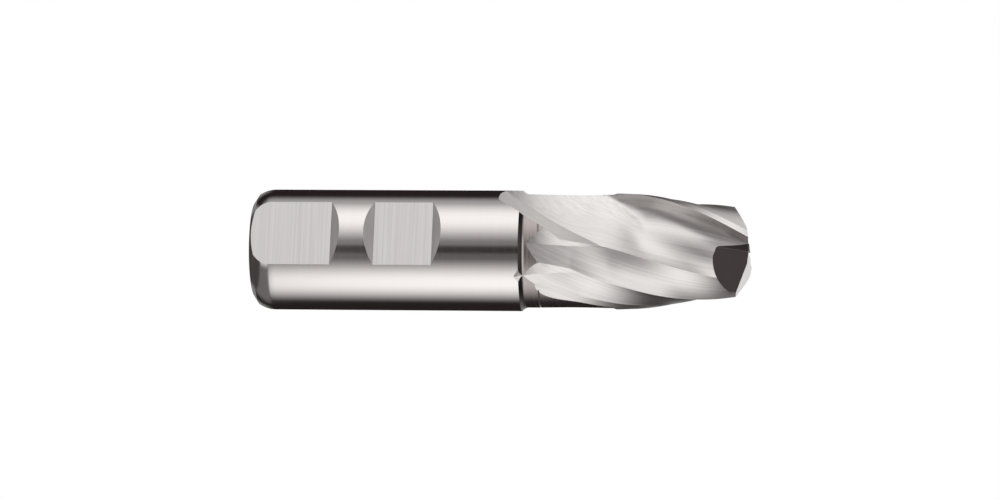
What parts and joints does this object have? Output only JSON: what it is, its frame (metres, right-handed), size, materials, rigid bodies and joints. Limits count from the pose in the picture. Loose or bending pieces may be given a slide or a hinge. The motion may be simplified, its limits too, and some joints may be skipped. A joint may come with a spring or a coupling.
{
  "type": "slot drill",
  "caption": "Centre-cutting slot drill with helical teeth, relieved neck and a round shank with driving flats.",
  "frame": {"origin": "middle of the shank's end face, on which the tool stands", "axes": "+Z along the tool's axis from the shank to the cutting end; -Y is the outward side of the driving flats; +X completes the frame"},
  "size_m": [0.025, 0.025, 0.103],
  "materials": {
    "ground_steel": "ground and polished high speed steel"
  },
  "bodies": {
    "root": {"slot_drill": "ground_steel"}
  },
  "joints": []
}
